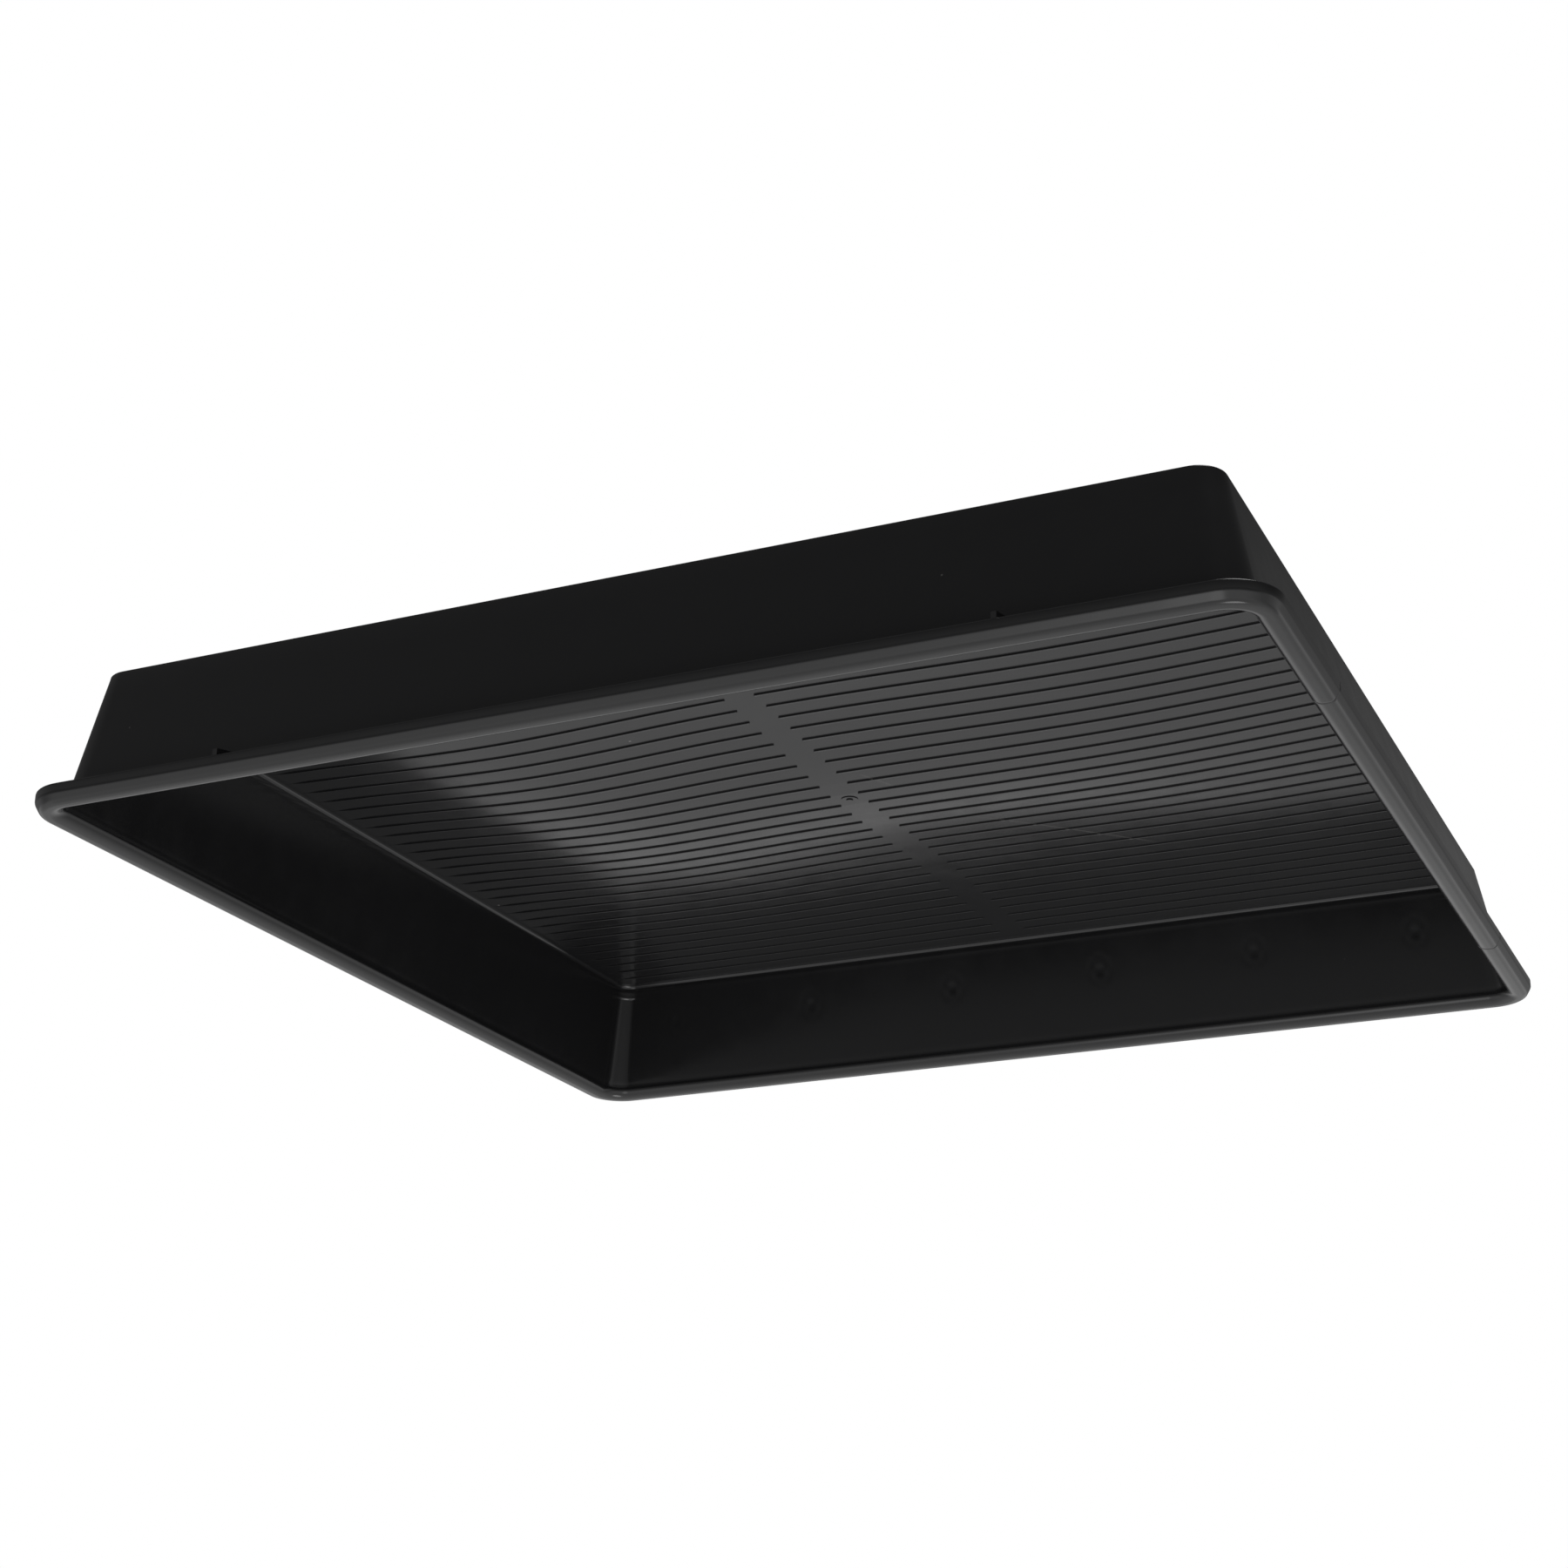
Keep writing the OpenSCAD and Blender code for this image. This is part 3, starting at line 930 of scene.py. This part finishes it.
def aim(azimuth, rise, roll):
    """The camera's turn: its right, up and back directions as columns."""
    a, e, t = (math.radians(v) for v in (azimuth, rise, roll))
    ahead = Vector((-math.sin(a) * math.cos(e), math.cos(a) * math.cos(e), math.sin(e)))
    right = Vector((math.cos(a), math.sin(a), 0))
    up = right.cross(ahead)
    rolled_right = right * math.cos(t) + up * math.sin(t)
    rolled_up = up * math.cos(t) - right * math.sin(t)
    return Matrix((rolled_right, rolled_up, -ahead)).transposed()


def make_camera():
    """The camera at the photo's viewing angle."""
    data = bpy.data.cameras.new("camera")
    data.sensor_width = SENSOR
    data.lens = CAMERA_LENS
    data.clip_start, data.clip_end = CAMERA_CLIP
    camera = bpy.data.objects.new("camera", data)
    camera.matrix_world = Matrix.Translation(CAMERA_AT) @ aim(
        CAMERA_AZIMUTH, CAMERA_RISE, CAMERA_ROLL).to_4x4()
    bpy.context.scene.collection.objects.link(camera)
    bpy.context.scene.camera = camera


# The studio's brightness by height, as (sine of the elevation, value): to the front
# of the lid, where the camera stands, and to the back of it.
FRONT_LIGHT = [(-1.0, 0.95), (-0.87, 0.80), (-0.72, 0.90), (-0.55, 1.02), (-0.40, 0.80),
               (-0.25, 0.30), (-0.10, 0.21), (0.10, 0.20), (0.30, 0.30), (0.40, 0.28),
               (0.55, 0.15), (0.70, 0.11), (1.0, 0.14)]
BACK_LIGHT = [(-1.0, 0.95), (-0.74, 0.85), (-0.50, 0.52), (-0.41, 0.46), (-0.36, 0.50),
              (-0.30, 0.63), (-0.20, 0.69), (-0.13, 0.72), (-0.05, 0.42), (0.10, 0.20),
              (0.30, 0.16), (0.36, 0.13), (0.42, 0.10), (0.46, 0.075), (0.50, 0.05),
              (0.70, 0.08), (1.0, 0.14)]
# The directions' Y, to the front and to the back, between which one turns into the other.
LIGHT_BLEND = 0.5
# Brighter patches below the lid: the direction, the cosines of the angles from it
# where the patch begins and is full, and its strength.
GLOWS = [((0.15, 0.05, -0.987), 0.972, 0.990, 3.0), ((-0.04, -0.80, -0.60), 0.955, 0.992, 1.0)]


def light_ramp(tree, height, stops, socket):
    """Sends the brightness at a height from 0 to 1 to a colour socket."""
    ramp = tree.nodes.new("ShaderNodeValToRGB")
    tree.links.new(height, ramp.inputs["Fac"])
    elements = ramp.color_ramp.elements
    for i, (sine, value) in enumerate(stops):
        at = (sine + 1) / 2
        stop = elements[i] if i < 2 else elements.new(at)
        stop.position = at
        stop.color = (value, value, value, 1)
    tree.links.new(ramp.outputs["Color"], socket)


def make_world():
    """The studio: the camera sees plain white, and the lid is lit by the ramps and glows."""
    world = bpy.data.worlds.new("studio")
    world.use_nodes = True
    tree = world.node_tree
    tree.nodes.clear()
    link = tree.links.new
    coords = tree.nodes.new("ShaderNodeTexCoord").outputs["Generated"]
    split = tree.nodes.new("ShaderNodeSeparateXYZ")
    link(coords, split.inputs[0])
    height = ranged(tree, split.outputs["Z"], -1, 1, 0, 1)
    depth = ranged(tree, split.outputs["Y"], -LIGHT_BLEND, LIGHT_BLEND, 0, 1, smooth=True)
    front, back, total = colour_mix(tree, depth)
    light_ramp(tree, height, FRONT_LIGHT, front)
    light_ramp(tree, height, BACK_LIGHT, back)
    for towards, edge, full, strength in GLOWS:
        facing = tree.nodes.new("ShaderNodeVectorMath")
        facing.operation = "DOT_PRODUCT"
        facing.inputs[1].default_value = towards
        link(coords, facing.inputs[0])
        both = tree.nodes.new("ShaderNodeVectorMath")
        link(total, both.inputs[0])
        link(ranged(tree, facing.outputs["Value"], edge, full, 0, strength, smooth=True),
             both.inputs[1])
        total = both.outputs[0]
    lit = tree.nodes.new("ShaderNodeBackground")
    link(total, lit.inputs["Color"])
    seen = node(tree, "ShaderNodeBackground", Color=(1, 1, 1, 1), Strength=1.0)
    mix = tree.nodes.new("ShaderNodeMixShader")
    link(tree.nodes.new("ShaderNodeLightPath").outputs["Is Camera Ray"], mix.inputs["Fac"])
    link(lit.outputs[0], mix.inputs[1])
    link(seen.outputs[0], mix.inputs[2])
    link(mix.outputs[0], tree.nodes.new("ShaderNodeOutputWorld").inputs["Surface"])
    bpy.context.scene.world = world
    bpy.context.scene.view_settings.view_transform = "Standard"


def make_floor():
    """A pale floor under the rim that fades into the background away from the lid.

    It is seen from above only, because the main camera looks up from below it.
    """
    half = FLOOR_HALF / MM
    corners = [(-half, -half), (half, -half), (half, half), (-half, half)]
    floor = new_piece("floor", [(x, y, FLOOR_Z) for x, y in corners], [(0, 1, 2, 3)])
    made, tree, shader = material("pale_floor")
    shader.inputs["Base Color"].default_value = (FLOOR_GREY, FLOOR_GREY, FLOOR_GREY, 1)
    shader.inputs["Roughness"].default_value = FLOOR_ROUGH
    clear = tree.nodes.new("ShaderNodeBsdfTransparent")
    mix = tree.nodes.new("ShaderNodeMixShader")
    where = tree.nodes.new("ShaderNodeNewGeometry")
    reach = tree.nodes.new("ShaderNodeVectorMath")
    reach.operation = "LENGTH"
    tree.links.new(where.outputs["Position"], reach.inputs[0])
    fade = ranged(tree, reach.outputs["Value"], *FLOOR_FADE, 0, 1, smooth=True)
    hidden = maths(tree, "MAXIMUM", where.outputs["Backfacing"], fade)
    tree.links.new(hidden, mix.inputs["Fac"])
    tree.links.new(shader.outputs[0], mix.inputs[1])
    tree.links.new(clear.outputs[0], mix.inputs[2])
    tree.links.new(mix.outputs[0], tree.nodes["Material Output"].inputs["Surface"])
    floor.data.materials.append(made)
    floor.visible_diffuse = False
    floor.visible_glossy = False
    floor.visible_transmission = False
    floor.visible_shadow = False


def make_lamp(name, size, power, at, mirrored):
    """A square soft lamp that shines on the lid, out of the camera's sight."""
    data = bpy.data.lights.new(name, "AREA")
    data.shape = "SQUARE"
    data.size = size
    data.energy = power
    lamp = bpy.data.objects.new(name, data)
    lamp.location = at
    lamp.rotation_euler = Vector(at).to_track_quat("Z", "Y").to_euler()
    lamp.visible_camera = False
    lamp.visible_glossy = mirrored
    bpy.context.scene.collection.objects.link(lamp)


def placed(piece, body, cad_node, look):
    """Gives a piece its material and its body, and hides the CAD node that it stands for."""
    piece.data.materials.clear()
    piece.data.materials.append(look)
    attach(piece, body)
    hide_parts(cad_node)


make_camera()
make_world()
make_floor()
for lamp in LAMPS:
    make_lamp(*lamp)

black = moulded_black()
# Steels: name, darkest and lightest colour, roughness, and the marks' scale and stretch.
rolled = plated_steel("rolled_zinc", (0.42, 0.43, 0.45), (0.60, 0.61, 0.62),
                      0.36, 700.0, (0.05, 1.0, 1.0))
bright = plated_steel("bright_zinc", (0.55, 0.56, 0.58), (0.72, 0.72, 0.73),
                      0.24, 1800.0, (1.0, 0.3, 1.0))
drawn = plated_steel("drawn_wire", (0.40, 0.40, 0.41), (0.56, 0.56, 0.57),
                     0.28, 1500.0, (0.04, 1.0, 1.0))
oiled = plated_steel("oiled_steel", (0.16, 0.15, 0.15), (0.30, 0.29, 0.28),
                     0.32, 1300.0, (1.0, 0.5, 0.5))

placed(make_moulding(), "lid", "lid_shell", black)
placed(make_lid_leaf(), "lid", "lid_hinge_leaf", rolled)
placed(make_washers(), "lid", "lid_leaf_washers", bright)
placed(make_screws(), "lid", "lid_leaf_screws", bright)
placed(make_base_leaf(), "hinge_base", "base_hinge_leaf", rolled)
placed(make_pin(), "hinge_base", "hinge_pin", drawn)
placed(make_cap(-1), "hinge_base", "left_pin_cap", oiled)
placed(make_cap(1), "hinge_base", "right_pin_cap", oiled)
